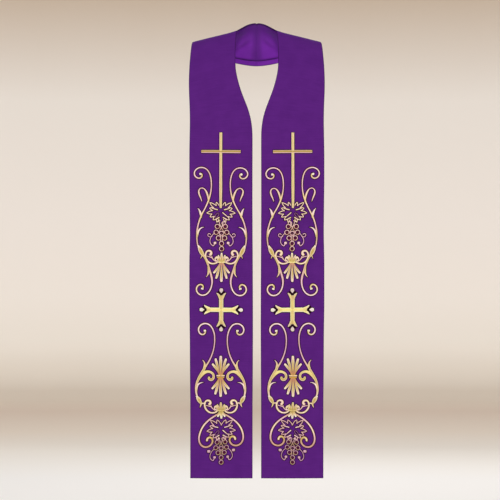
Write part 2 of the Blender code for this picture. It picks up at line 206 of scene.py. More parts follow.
MOTIFS = {
    "tall_cross": (
        Stroke(ONCE, 0.3, 996.5, -90, (8, 7.8, 8, 8.4, 7), ((216, 0),), "cross", (START,)),
        Stroke(PAIR, 0, 942, 0, (8.7, 8.7), ((56.6, 0),), "bar", (END,)),
    ),
    "upper_scrolls": (
        # the stem, up to its volute
        Stroke(PAIR, 69, 669, 78,
               (3.8, 4.1, 5.1, 4.1, 4.4, 3.9, 4.5, 4.2, 3.7, 3.7, 3.8, 4, 4.2, 4.2, 4.4, 4.6),
               ((37, 17), (36.5, 15), (31.5, 11), (30.5, -10), (32, -13), (32, -15), (15.5, -12),
                (12.5, -19), (34, -82), (10.5, -31), (7.5, -30), (21, -87), (8.5, -52), (10.5, -80)),
               "upper_stem"),
        Stroke(PAIR, 58.6, 876, 0, (7, 7), ((0.8, 0),), "ball"),
        # bud on the stem, and the stem's way down from it
        Stroke(PAIR, 67, 668.5, -113, (5, 10.8, 13, 10.6, 5), ((33, -8),), "bud"),
        Stroke(PAIR, 57, 643, -80, (3.6, 2.6, 1), ((11, 24),), "thorn"),
        Stroke(PAIR, 51.5, 640.7, -121, (6, 6, 5, 6.4, 4.4, 4.4, 4.6, 4.8, 4.8, 5),
               ((28.5, 12), (38.5, 5), (36.5, 38), (11, 17), (11, 25), (28.5, 88), (17, 62),
                (9.5, 45), (19, 149)), "volute"),
        Stroke(PAIR, 54.8, 544.2, 0, (7, 7), ((0.8, 0),), "ball"),
        Stroke(PAIR, 66.4, 666.5, -120, (6.6, 6.6), ((1.5, 0),), "ball"),
        # hooked leaf and thorns
        Stroke(PAIR, 35.5, 796, 88, (4, 5.4, 5.8, 3.6, 3.4, 5, 4.6, 2),
               ((26, -19), (10.5, -18), (8, -34), (12, -78), (8, -37), (11.5, -17), (16, 9)), "hook"),
        Stroke(PAIR, 57.5, 750, 85, (3, 7, 6.4, 4.4, 1.4), ((19.5, -17), (9, -26)), "bright_thorn"),
        Stroke(PAIR, 70.5, 696, 90, (4.4, 6.4, 5, 3.6, 1), ((20.5, 38), (16, 50)), "bright_thorn"),
        Stroke(PAIR, 39, 608, -109, (4, 6, 5.8, 3.4, 1.2), ((19, 33), (13, 34)), "thorn"),
        # curl and twig, crown, tie and hanging petals
        *tie_curl(622, 640),
        *crown((623, 624, 625), 24.5, 70, "crown"),
        Stroke(PAIR, 0, 622.5, 0, (6, 3.6), ((12, 0),), "tie"),
        Stroke(ONCE, 0, 620.5, -90, (4.6, 4.8, 6.6, 8.4, 7.6), ((52.5, 0),), "petal"),
        Stroke(PAIR, 2.8, 621, -78, (2.8, 3.6, 5.4, 7.6, 6.4), ((46, 6),), "petal"),
        Stroke(PAIR, 4.6, 620.5, -71, (2.4, 3.4, 5.2, 7, 6), ((33.5, 23),), "petal"),
    ),
    "budded_cross": (
        # one arm and its two flared tips
        Stroke(ARMS, 0, CROSS_CENTRE, 0, (13, 13, 12.6, 13, 14), ((41, 0),), "arm", (END,)),
        Stroke(ARMS, 32.4, CROSS_CENTRE + 3, 12, (7.4, 8, 6.8, 2.8), ((19, 38),), "flare"),
        Stroke(ARMS, 32.4, CROSS_CENTRE - 3, -12, (7.4, 8, 6.8, 2.8), ((19, -38),), "flare"),
    ),
    "fan_palmette": (
        Stroke(PAIR, 0, FAN_CENTRE + 1.8, 0, (4.8, 4.4), ((10, 0),), "band"),
        Stroke(PAIR, 0, FAN_CENTRE - 3.6, 0, (6, 5), ((8.5, 0),), "knot"),
        *rays(),
    ),
    "lower_scrolls": (
        # the stem, its broad curl, thorns and bud
        Stroke(PAIR, 68, 231, 72,
               (4.8, 6.2, 7.2, 6.6, 6.2, 4.6, 4, 3.7, 3.7, 4.1, 4.5, 4.7, 4.8, 4.8, 5),
               ((34.5, 30), (26, 15), (30, 7), (15.5, -2), (77.5, -35), (26.5, -23), (10.5, -17),
                (36, -101), (18.5, -65), (9, -43), (19.5, -133)), "lower_stem"),
        Stroke(PAIR, 46.6, 422, 0, (7, 7), ((0.8, 0),), "ball"),
        Stroke(PAIR, 69, 232, -124, (6.6, 6.6), ((1.5, 0),), "ball"),
        Stroke(PAIR, 65.5, 278, 111, (6, 9, 10, 8.6, 7, 6.6, 7, 8, 6.4),
               ((25.5, 30), (10, 21), (17, 53), (17, 74), (11, 81), (8, 90)), "curl"),
        Stroke(PAIR, 50, 306, 117, (6, 8, 6, 3.6, 1.4), ((20.5, -33), (14, -48)), "thorn"),
        Stroke(PAIR, 70.5, 247, 88, (5, 7, 5, 3.4, 1), ((13, 21), (24.5, 77)), "bright_thorn"),
        Stroke(PAIR, 69, 231.5, -124, (6, 11.4, 12.2, 9, 4.6), ((25, 8),), "bud"),
        Stroke(PAIR, 57.5, 214, -96, (5.4, 4, 1.4), ((15, 41),), "thorn"),
        Stroke(PAIR, 58, 212.5, 180, (4.4, 4), ((13, 0),)),
        # curl and twig, crown, tie and root petals
        *tie_curl(187.5, 206),
        *crown((190, 190, 191.5), 23, 68, "dim_crown"),
        Stroke(PAIR, 0, 190, 0, (6.4, 4.4), ((12, 0),), "dim_tie"),
        Stroke(ONCE, 0, 188, -90, (5.4, 8, 8.6, 6), ((19.5, 0),), "root"),
        Stroke(PAIR, 2.5, 188, -64, (4.6, 6.4, 7.2, 5), ((16.6, 0),), "root"),
        # heart round the vine leaf
        Stroke(PAIR, 8, 180, -29, (5, 5.2, 5.2, 5.2, 5.2, 5.2, 5.4, 6.6),
               ((14, -2), (31.5, -14), (43, -37), (11.5, -18), (10.5, -24), (38.5, -113), (9, -33),
                (7.5, -39), (19.5, -144)), "heart"),
    ),
    "cross_chevrons": (
        Stroke(ARMS, 45, CROSS_CENTRE, 48, (1.6, 1.2, 0.6), ((11.5, 0),), "black"),
        Stroke(ARMS, 45, CROSS_CENTRE, -48, (1.6, 1.2, 0.6), ((11.5, 0),), "black"),
    ),
    "cross_buds": (
        Stroke(ARMS, 51, CROSS_CENTRE, 0, (4, 9, 11, 11), ((6.4, 0),), "pearl"),
    ),
}

# A vine: its leaf's centre and line, the height and thread of its grapes, how much shorter the
# lower cluster is, and whether its tendril's loop is filled
Vine = namedtuple("Vine", "name leaf leaf_line leaf_bar grapes ring tendril tip squash filled")
VINES = (
    Vine("upper_vine", 768.0, "leaf", "vein", 724.3, "ring", "tendril", "tip", 1.0, False),
    Vine("lower_vine", 136.0, "dim_leaf", "dim_vein", 98.3, "dim_ring", "dim_tendril", "dim_tip",
         0.92, True),
)
# the leaf's outline, as (degrees up from the side, distance from the leaf's centre)
LEAF_TIPS = ((64, 29), (38, 40.5), (15, 34), (-7, 41.5), (-27, 36), (-47, 34), (-68, 34))
LEAF_NOTCHES = ((50, 20.5), (26, 23), (4, 24), (-17, 27), (-37, 24), (-58, 25))
LAST_NOTCH = (-74, 24)
LEAF_BOW = 34.0  # degrees that each edge between a tip and a notch turns
LEAF_WIDTHS = (2.4, 3.0, 2.6)
# Short bars inside it: how they repeat, side, height from its centre, heading, length and width
LEAF_BARS = (
    (PAIR, 10, 4.5, 14, 16, 3.6),
    (ONCE, -5, -4, -139, 18, 3.4),
    (PAIR, 6, -18, -29, 12.5, 3.8),
    (ONCE, 4, -27, -27, 9, 3.2),
)
# grapes: side and height from the cluster's top
GRAPES = ((11.5, 0), (15.5, -16.8), (9.0, -32.8))
MIDDLE_GRAPES = (-20, -48.3, -63.3)
GRAPE_REACH = 6.3
GRAPE_HEART = 8.8  # across the dark heart of a grape
GRAPE_HEART_SHIFT = -0.5  # how far to the side a heart lies from its ring's centre
GRAPE_LINE = 2.5

# How the stitches are moved from their strokes' places. Each row is a height, the move outwards, the
# move up, and what is added to the move up for each millimetre of `side`.
SHIFTS = (
    (20, 0.5, 1.0, -0.05),
    (70, 0.7, 1.0, -0.06),
    (120, 0.9, 1.2, -0.045),
    (159, -0.3, 2.0, -0.005),
    (215, 1.6, -0.2, -0.01),
    (257, 2.4, 0.4, -0.003),
    (326, 1.9, -0.6, 0.003),
    (420, 0.6, 0.2, 0.006),
    (532, 0.2, -0.3, 0.008),
    (588, -0.5, -0.8, 0.003),
    (640, -1.0, -1.6, 0.003),
    (703, -0.6, -0.1, 0.008),
    (790, 1.4, 0.6, 0.005),
    (876, 1.2, -0.2, 0.015),
    (1000, 0.8, -0.7, 0.003),
)

# Embroidery
BEND_STEP = 10.0  # degrees of turn, and the length, in one straight piece of a stroke
LONGEST_STEP = 5.0
ROUND_END = ((0.35, 0.94), (0.65, 0.76), (0.87, 0.49), (0.98, 0.20))  # ahead, and the width left
SQUARE_END = ((0.10, 0.97), (0.20, 0.86), (0.26, 0.60), (0.28, 0.30))
STROKE_SIDES = 16
SUNK = -0.12  # where the edge of a stroke lies, into the cloth
HIGHEST = 1.9  # that the widest strokes stand proud
HEART_HIGHEST = 0.9
CHEVRON_HIGHEST = 4.2
RISE = 0.42  # how soon wider strokes come near the highest
SWELL = 1.4  # 1 gives a stroke a round back, and more a peaked one
UPRIGHT_PAINTED_SHADE = (0.82, 0.75, 0.78)  # painted shade of the cross's upright arms, whose stitches lie the other way
OUTLINE = 2.0  # how far the painted shadow round a stroke lies outside it

# The view
CAMERA_PLACE = (-0.0198, -8.0, -0.6438)
CAMERA_LENS = 195.9
SENSOR = 36.0

# The stage, in metres
FLOOR_Z = -1.746
STAGE_REACH = 12.0
STAGE_HEIGHT = 3.05
STAGE_TURN = 0.25  # radius of the bend from floor to wall
STOLE_MIDDLE = (0.0, 0.0, -0.6)
SOFTBOX_SIZE = 3.0
SKY_LIGHT = 1.04
SKY_LOSS = 0.7  # less of it from straight above


def linear(srgb):
    return tuple(c / 12.92 if c <= 0.04045 else ((c + 0.055) / 1.055) ** 2.4 for c in srgb)


def shade(red, green, blue):
    """A colour from 8-bit sRGB numbers, as the shader wants it."""
    return (*linear((red / 255, green / 255, blue / 255)), 1)


# ---------------------------------------------------------------- cloth


class Half:
    """The right side of one half of the cloth, as a smooth surface with its creases."""

    def __init__(self, name):
        rows = np.array(SECTIONS, float)
        middles = (rows[:, 0:3] + rows[:, 3:6]) / 2
        steps = np.linalg.norm(np.diff(middles, axis=0), axis=1)
        runs = np.concatenate([[0], np.cumsum(steps)])
        other_half = rows[3:0:-1] * (-1, 1, 1, -1, 1, 1, 1)
        known_runs = np.concatenate([-runs[3:0:-1], runs])
        known = np.concatenate([other_half, rows])
        offsets = np.linspace(-1, 1, 9) * SOFTEN
        weights = 1 - np.abs(offsets) / SOFTEN
        weights /= weights.sum()
        self.runs = np.arange(known_runs[0], known_runs[-1])
        near = self.runs[:, None] + offsets
        self.table = np.stack([np.interp(near, known_runs, c) @ weights for c in known.T], axis=1)
        self.hem_run = runs[-1 - BEYOND_HEM]
        self.name = name
        self.mirror = 1 if name == "left" else -1

    def section(self, run):
        row = np.stack([np.interp(run, self.runs, column) for column in self.table.T], axis=-1)
        drop = NOTCH_DROP * np.exp(-((run / NOTCH_REACH) ** 2))
        neck = row[..., 0:3] - drop[..., None] * np.array((0, 0, 1))
        return neck, row[..., 3:6], row[..., 6]

    def width(self, run):
        neck, edge, _ = self.section(run)
        return np.linalg.norm(edge - neck, axis=-1)

    def crowned(self, across, run):
        neck, edge, crown = self.section(run)
        share = across[..., None]
        neck_on, edge_on, _ = self.section(run + 1)
        neck_off, edge_off, _ = self.section(run - 1)
        along = (neck_on - neck_off) * (1 - share) + (edge_on - edge_off) * share
        out = unit(np.cross(along, edge - neck))
        return neck * (1 - share) + edge * share + out * (crown * 4 * across * (1 - across))[..., None]

    def relief(self, across, run):
        """The height of the face's creases."""
        return creased(FACE_CREASES[self.name], across, run, self.width(run))

    def point(self, across, run, proud):
        """A place on this half, in metres."""
        step = 0.01
        along = self.crowned(across, run + 1) - self.crowned(across, run - 1)
        over = self.crowned(across + step, run) - self.crowned(across - step, run)
        height = proud + self.relief(across, run)
        place = self.crowned(across, run) + unit(np.cross(along, over)) * height[..., None]
        return place * (self.mirror * MM, MM, MM)

    def on_front(self, side, height, proud):
        """A place on this half by the ornament's own measures, with the stitches' shifts."""
        heights, out, up, tilt = np.array(SHIFTS).T
        rise = np.interp(height, heights, up) + np.interp(height, heights, tilt) * side
        run = self.hem_run - ORNAMENT_FOOT - height - rise
        neck, _, _ = self.section(run)
        inset = ORNAMENT_X - neck[..., 0] + side + np.interp(height, heights, out)
        return self.point(inset / self.width(run), run, proud)

    def flat_size(self, margins, run_end):
        """The cut of one layer, in metres: its greatest width, its length and its area."""
        runs = np.linspace(0, run_end, 600)
        widths = self.width(runs) - sum(margins)
        length = float(run_end) * MM
        return (float(widths.max()) * MM, length), float(widths.mean()) * MM * length


def unit(vectors):
    return vectors / np.linalg.norm(vectors, axis=-1, keepdims=True)


def smooth_step(low, high, value):
    share = np.clip((value - low) / (high - low), 0, 1)
    return share * share * (3 - 2 * share)


def creased(creases, across, run, width):
    total = np.zeros_like(run)
    for crease in creases:
        out = (across - crease.across) * width
        on = run - crease.run
        turn = math.radians(crease.heading)
        along = (out * math.cos(turn) + on * math.sin(turn)) / crease.length
        over = (on * math.cos(turn) - out * math.sin(turn)) / crease.breadth
        total += crease.depth * np.exp(-(along**2) - over**2)
    return total


def spread(low, high, count):
    """Distances from low to high, close together near both."""
    rim = np.array(RIM)
    inner = np.linspace(low + rim[-1], high - rim[-1], count + 2)[1:-1]
    return np.concatenate([low + rim, inner, high - rim[::-1]])


def cloth_shell(name, half, wall, depth, margins, run_end, relief):
    """A closed sheet `wall` thick whose right side is `depth` below the cloth's, with round edges."""
    neck_margin, edge_margin = margins
    rows = spread(0, run_end, int(run_end / RUN_STEP))
    widths = half.width(rows)
    places = np.stack([spread(neck_margin, w - edge_margin, CROSS_COUNT) for w in widths])
    run = np.repeat(rows[:, None], places.shape[1], axis=1)
    width = widths[:, None]
    across = places / width
    bound = np.minimum(places - neck_margin, width - edge_margin - places)
    bound = np.minimum(bound, run_end - run)
    inset = np.minimum(bound, run)
    reach = wall / 2
    swell = reach * np.sqrt(1 - (1 - np.clip(inset / reach, 0, 1)) ** 2)
    lift = relief(across, run, places, width, inset)
    middle = -depth - reach + lift
    right = half.point(across, run, middle + swell)
    wrong = half.point(across, run, middle - swell)
    obj, inner = closed_sheet(name, right, wrong, places, run)
    for note, on_right, on_wrong in (
        ("bound", bound, bound),
        ("lift", lift, lift),
        ("turned", np.zeros_like(inset), np.ones_like(inset)),
    ):
        keep(obj.data, note, np.concatenate([on_right.ravel(), on_wrong[inner]]))
    return obj


def keep(mesh, name, values):
    """Keeps a number for each point of the mesh, under a name that a finish can read."""
    kept = mesh.attributes.new(name, "FLOAT", "POINT")
    kept.data.foreach_set("value", np.ascontiguousarray(values, np.float32).ravel())


def closed_sheet(name, right, wrong, places, run):
    """Two grids of points that share their border, as one mesh, and which points aren't shared.

    Its UV map is the cloth unrolled, in metres.
    """
    rows, columns = right.shape[:2]
    front = np.arange(rows * columns).reshape(rows, columns)
    inner = np.zeros((rows, columns), bool)
    inner[1:-1, 1:-1] = True
    back = front.copy()
    back[inner] = rows * columns + np.arange(inner.sum())
    points = np.concatenate([right.reshape(-1, 3), wrong[inner]])
    flat = np.stack([places, run], axis=-1) * MM
    flat = np.concatenate([flat.reshape(-1, 2), flat[inner]])
    quads = []
    for grid, order in ((front, (0, 1, 2, 3)), (back, (3, 2, 1, 0))):
        corners = np.stack([grid[:-1, :-1], grid[1:, :-1], grid[1:, 1:], grid[:-1, 1:]], axis=-1)
        quads.append(corners.reshape(-1, 4)[:, order])
    mesh = bpy.data.meshes.new(name)
    mesh.from_pydata(points.tolist(), [], np.concatenate(quads).tolist())
    layer = mesh.uv_layers.new(name="cloth")
    corner_points = np.zeros(len(mesh.loops), int)
    mesh.loops.foreach_get("vertex_index", corner_points)
    layer.data.foreach_set("uv", flat[corner_points].ravel())
    turned = bmesh.new()
    turned.from_mesh(mesh)
    bmesh.ops.recalc_face_normals(turned, faces=turned.faces)
    turned.to_mesh(mesh)
    turned.free()
    mesh.shade_smooth()
    obj = bpy.data.objects.new(name, mesh)
    bpy.context.scene.collection.objects.link(obj)
    return obj, inner


def make_band(half, silk):
    """The face cloth of one half, with its margins turned to the back."""

    def relief(across, run, places, width, inset):
        return TURN_RIDGE * (1 - smooth_step(TURNED_MARGIN - 3, TURNED_MARGIN + 2, inset))

    name = f"{half.name}_band_silk"
    band = cloth_shell(name, half, FACE_WALL, 0, (0, 0), half.hem_run, relief)
    band.data.materials.append(silk)
    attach(band, BODY)
    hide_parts(f"{half.name}_band")
    flat, area = half.flat_size((0, 0), half.hem_run)
    return band


def make_lining(half, satin):
    """The lining, slip-stitched to the turned margins, with a little slack."""

    def relief(across, run, places, width, inset):
        held = smooth_step(0, LINING_HELD, inset)
        creases = creased(LINING_CREASES[half.name], across, run, width)
        return held * np.minimum(LINING_LIFT + creases, 0)

    name = f"{half.name}_lining_satin"
    depth = FACE_WALL + LINING_GAP
    margins = (NECK_MARGIN, TURNED_MARGIN)
    run_end = half.hem_run - TURNED_MARGIN
    lining = cloth_shell(name, half, LINING_WALL, depth, margins, run_end, relief)
    lining.data.materials.append(satin)
    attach(lining, BODY)
    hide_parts(f"{half.name}_lining")
    flat, area = half.flat_size(margins, run_end)


# ---------------------------------------------------------------- embroidery


def walked(stroke):
    """The stroke's stations, as (side, height, heading, run, tip, reach), with closed ends.

    `tip` is how far the stroke goes on beyond a station in its closed ends.
    """
    side, height, heading = stroke.side, stroke.height, math.radians(stroke.heading)
    run = 0.0
    stations = [(side, height, heading, run)]
    for length, turn in stroke.arcs:
        count = max(1, math.ceil(abs(turn) / BEND_STEP), math.ceil(length / LONGEST_STEP))
        step, bend = length / count, math.radians(turn) / count
        for _ in range(count):
            side += step * math.cos(heading + bend / 2)
            height += step * math.sin(heading + bend / 2)
            heading += bend
            run += step
            stations.append((side, height, heading, run))
    spaced = np.linspace(0, run, len(stroke.widths))
    reaches = [float(np.interp(s[3], spaced, stroke.widths)) / 2 + OUTLINE for s in stations]
    return closed_ends(stations, reaches, stroke.square)


def closed_ends(stations, reaches, square):
    """The stations with more beyond each end, where the stroke closes."""
    whole = [(*station, reach, reach) for station, reach in zip(stations, reaches)]
    for name, end, way in ((START, 0, -1), (END, -1, 1)):
        side, height, heading, run = stations[end]
        reach = reaches[end]
        cap = []
        shape = SQUARE_END if name in square else ROUND_END
        for share, left in shape:
            ahead = way * share * reach
            cap.append((side + ahead * math.cos(heading), height + ahead * math.sin(heading),
                        heading, run + ahead, (shape[-1][0] - share) * reach, reach * left))
        whole = whole + cap if way > 0 else cap[::-1] + whole
    return whole


def dyed_and_lit(stroke, stations):
    """The thread's shade in the middle and at the sides of each station, with painted highlight and
    shade.

    The shades of a thread are spaced evenly along the stroke.
    """
    length = sum(arc[0] for arc in stroke.arcs)
    runs = [station[3] for station in stations]
    dyes_and_light = []
    for shades in THREADS[stroke.thread]:
        spaced = np.linspace(0, length, len(shades))
        channels = np.array(shades).T
        dyes_and_light.append(np.stack([np.interp(runs, spaced, channel) for channel in channels], axis=-1))
    return np.stack(dyes_and_light, axis=1)


def draw(strokes):
    """Strokes as round tubes lying flat at the origin, one joined mesh."""
    bpy.ops.object.add(type="CURVE", enter_editmode=True)
    curve = bpy.context.object
    stations, dyes_and_light, lit = [], [], []
    for stroke in strokes:
        bpy.ops.curve.select_all(action="DESELECT")
        walk = walked(stroke)
        for side, height, _, _, _, reach in walk:
            bpy.ops.curve.vertex_add(location=(side * MM, height * MM, 0))
            bpy.ops.curve.radius_set(radius=reach)
        stations += walk
        dyes_and_light.append(dyed_and_lit(stroke, walk))
        lit += [lean(stroke)] * len(walk)
    bpy.ops.curve.select_all(action="SELECT")
    bpy.ops.curve.spline_type_set(type="POLY")
    bpy.ops.object.mode_set(mode="OBJECT")
    curve.data.dimensions = "3D"
    curve.data.twist_mode = "Z_UP"
    curve.data.bevel_depth = MM
    curve.data.bevel_resolution = STROKE_SIDES // 2 - 2
    bpy.ops.object.convert(target="MESH")
    tubes = bpy.context.object
    note_thread(tubes.data, np.array(stations), np.concatenate(dyes_and_light), np.array(lit))
    bpy.ops.object.mode_set(mode="EDIT")
    bpy.ops.mesh.select_all(action="SELECT")
    bpy.ops.mesh.fill_holes(sides=STROKE_SIDES)
    bpy.ops.object.mode_set(mode="OBJECT")
    return tubes


def lean(stroke):
    """1 where the middle shade leans to a stroke's upper side, -1 where it leans to its lower side:
    painted light that makes one side of a level stroke paler than the other.
    """
    if stroke.repeat == ARMS:
        return 0
    return -1 if stroke.thread in CRESTED else 1


def note_thread(mesh, stations, dyes_and_light, leaning):
    """Keeps where on its stroke each point lies, along and over it and in from its edge, and its dyes
    with their painted highlight and shade.

    `upper` is 1 on the upper side of a stroke that runs level, and -1 on its lower side; it sets which
    side gets the painted highlight.
    """
    points = np.zeros(len(mesh.vertices) * 3)
    mesh.vertices.foreach_get("co", points)
    points = points.reshape(len(stations), -1, 3) / MM
    side, height, heading, run, tip, reach = stations.T
    sides = points.shape[1]
    over = (points[:, :, 1] - height[:, None]) * np.cos(heading)[:, None]
    over -= (points[:, :, 0] - side[:, None]) * np.sin(heading)[:, None]
    keep(mesh, "along", np.repeat(run, sides))
    keep(mesh, "over", over)
    keep(mesh, "reach", np.repeat(reach, sides))
    depth = np.minimum(reach[:, None] - np.abs(over), tip[:, None])
    keep(mesh, "depth", depth)
    inside = reach[:, None] - OUTLINE
    keep(mesh, "share", np.clip((depth - OUTLINE) / inside, 0, 1))
    keep(mesh, "upper", over / reach[:, None] * (leaning * np.cos(heading))[:, None])
    for place, name in enumerate(DYES_AND_PAINTED_LIGHT):
        dye_and_light = mesh.attributes.new(name, "FLOAT_COLOR", "POINT")
        shades = np.repeat(dyes_and_light[:, place], sides, axis=0)
        dye_and_light.data.foreach_set("color", shades.astype(np.float32).ravel())
    for layer in list(mesh.uv_layers):
        mesh.uv_layers.remove(layer)


def choose(*objects):
    bpy.ops.object.select_all(action="DESELECT")
    for obj in objects:
        obj.select_set(True)
    bpy.context.view_layer.objects.active = objects[0]


def repeated(tubes, repeat):
    """The drawn strokes and their copies, as objects."""
    choose(tubes)
    if repeat == PAIR:
        bpy.ops.object.modifier_add(type="MIRROR")
        mirror = tubes.modifiers[-1]
        mirror.use_mirror_merge = False
        bpy.ops.object.modifier_apply(modifier=mirror.name)
        return [tubes]
    if repeat == ARMS:
        arms = [tubes]
        for turns in (1, 2, 3):
            choose(tubes)
            bpy.ops.object.duplicate()
            arms.append(bpy.context.object)
            bpy.ops.transform.rotate(value=math.radians(90 * turns), orient_axis="Z",
                                     center_override=(0, CROSS_CENTRE * MM, 0))
        # the upright arms get painted shade
        for upright in arms[1::2]:
            darken_with_painted_shade(upright.data, UPRIGHT_PAINTED_SHADE)
        return arms
    return [tubes]


def darken_with_painted_shade(mesh, share):
    """Darkens the dyes of a mesh with painted shade."""
    for name in DYES_AND_PAINTED_LIGHT:
        dye_and_light = mesh.attributes[name]
        shades = np.zeros(len(mesh.vertices) * 4)
        dye_and_light.data.foreach_get("color", shades)
        shades = shades.reshape(-1, 4) * (*share, 1)
        dye_and_light.data.foreach_set("color", shades.astype(np.float32).ravel())


def flat_motif(name, strokes):
    """All the strokes of a motif as one flat mesh."""
    drawn = []
    for repeat in (ONCE, PAIR, ARMS):
        alike = [stroke for stroke in strokes if stroke.repeat == repeat]
        if alike:
            drawn += repeated(draw(alike), repeat)
    choose(*drawn)
    if len(drawn) > 1:
        bpy.ops.object.join()
    motif = bpy.context.object
    bpy.ops.object.transform_apply(location=True, rotation=True, scale=True)
    motif.name = motif.data.name = name
    return motif


def read_numbers(mesh, name):
    values = np.zeros(len(mesh.vertices))
    mesh.attributes[name].data.foreach_get("value", values)
    return values


def stitched(motif, half, name, thread, highest=HIGHEST):
    """A copy of a flat motif, wrapped onto the front of one half."""
    choose(motif)
    bpy.ops.object.duplicate()
    piece = bpy.context.object
    piece.name = piece.data.name = name
    mesh = piece.data
    points = np.zeros(len(mesh.vertices) * 3)
    mesh.vertices.foreach_get("co", points)
    points = points.reshape(-1, 3) / MM
    reach = read_numbers(mesh, "reach")
    tallest = highest * (1 - np.exp(-RISE * (reach + 0.3)))
    proud = SUNK + tallest * np.clip(points[:, 2] / reach, 0, 1) ** SWELL
    place = half.on_front(points[:, 0], points[:, 1], proud)
    mesh.vertices.foreach_set("co", place.ravel())
    if half.mirror < 0:
        mesh.flip_normals()
    mesh.shade_smooth()
    mesh.materials.clear()
    mesh.materials.append(thread)
    mesh.update()
    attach(piece, BODY)
    return piece


def bowed(start, end, bow, widths, thread):
    """A stroke in one arc from start to end that turns by `bow` degrees."""
    out, up = end[0] - start[0], end[1] - start[1]
    half_turn = math.radians(bow) / 2
    length = math.hypot(out, up) * half_turn / math.sin(half_turn)
    heading = math.degrees(math.atan2(up, out)) - bow / 2
    return Stroke(PAIR, *start, heading, widths, ((length, bow),), thread)


def leaf_strokes(vine):
    """The vine leaf's outline, lobe by lobe, and the short bars inside it."""
    centre = vine.leaf

    def corner(degrees, distance):
        turn = math.radians(degrees)
        return distance * math.cos(turn), centre + distance * math.sin(turn)

    corners = [(0.5, centre + 11), (4, centre + 18)] if vine.filled else [(6, centre + 17)]
    for tip, notch in zip(LEAF_TIPS, (*LEAF_NOTCHES, LAST_NOTCH)):
        corners += [corner(*tip), corner(*notch)]
    strokes = [bowed(a, b, -LEAF_BOW, LEAF_WIDTHS, vine.leaf_line)
               for a, b in zip(corners, corners[1:])]
    for repeat, side, up, heading, length, width in LEAF_BARS:
        widths = (width, width, width * 0.7)
        strokes.append(Stroke(repeat, side, centre + up, heading, widths, ((length, 0),),
                              vine.leaf_bar))
    # a faint loop beside the middle
    strokes.append(Stroke(ONCE, 17, centre - 14, 105, (1.8, 1.8),
                          ((12, 50), (6, 130), (12, 50), (6, 130)), "faint"))
    return strokes


def grape_places(vine):
    """Where the grapes lie, as (how they repeat, side, height)."""
    places = [(PAIR, side, vine.grapes + up * vine.squash) for side, up in GRAPES]
    return places + [(ONCE, 0, vine.grapes + up * vine.squash) for up in MIDDLE_GRAPES]


def ring(vine, repeat, side, height, reach):
    widths = (GRAPE_LINE,) * 2
    return Stroke(repeat, side + reach, height, 90, widths, ((2 * math.pi * reach, 360),), vine.ring)


def grape_strokes(vine):
    """The grapes as rings, the stalks between them, and the tendrils."""
    top, share = vine.grapes, vine.squash
    strokes = [ring(vine, *place, GRAPE_REACH * share) for place in grape_places(vine)]
    strokes.append(ring(vine, ONCE, -7, top + 9, 5))
    stalk = Stroke(PAIR, 5.8, top + 13, -95, (2.4, 2.8, 2.6, 2.2),
                   ((12 * share, -22), (24 * share, -8)), vine.ring)
    between = Stroke(PAIR, 2.4, top - 22 * share, -90, (2.2, 2.4), ((19 * share, 0),), vine.ring)
    tendril = Stroke(PAIR, 20, top - 19, -33, (2.2, 2.6, 2.8, 3),
                     ((24.7 * share, -46.4), (19.4 * share, -77), (2 * share, -74),
                      (7.3 * share, -27)), vine.tendril)
    tip = Stroke(PAIR, 18.6, top - 47 * share, 0, (7.6, 7.6), ((0.8, 0),), vine.tip)
    if vine.filled:
        loop = Stroke(PAIR, 35, top - 24.8, 0, (8.6, 8.6), ((1.5, 0),), vine.tip)
    else:
        loop = Stroke(PAIR, 27, top - 27, -53, (2.4, 2.6),
                      ((11.5, 85), (5, 56), (11.5, 162)), vine.tendril)
    return [*strokes, stalk, between, tendril, tip, loop]


def heart_strokes(vine):
    """The dark hearts that fill the grapes."""
    across = GRAPE_HEART * vine.squash
    return [Stroke(repeat, side + GRAPE_HEART_SHIFT, height, 0, (across, across), ((1, 0),), "wine")
            for repeat, side, height in grape_places(vine)]


# ---------------------------------------------------------------- finishes


class Wire:
    """A node's output. Sums on it add Math nodes."""

    def __init__(self, finish, socket):
        self.finish = finish
        self.socket = socket

    def sum(self, operation, first, second):
        return self.finish.node("ShaderNodeMath", {"operation": operation}, {0: first, 1: second})

    def __add__(self, other):
        return self.sum("ADD", self, other)

    def __radd__(self, other):
        return self.sum("ADD", other, self)

    def __sub__(self, other):
        return self.sum("SUBTRACT", self, other)

    def __rsub__(self, other):
        return self.sum("SUBTRACT", other, self)

    def __mul__(self, other):
        return self.sum("MULTIPLY", self, other)

    def __rmul__(self, other):
        return self.sum("MULTIPLY", other, self)

    def __truediv__(self, other):
        return self.sum("DIVIDE", self, other)

    def __pow__(self, other):
        return self.sum("POWER", self, other)


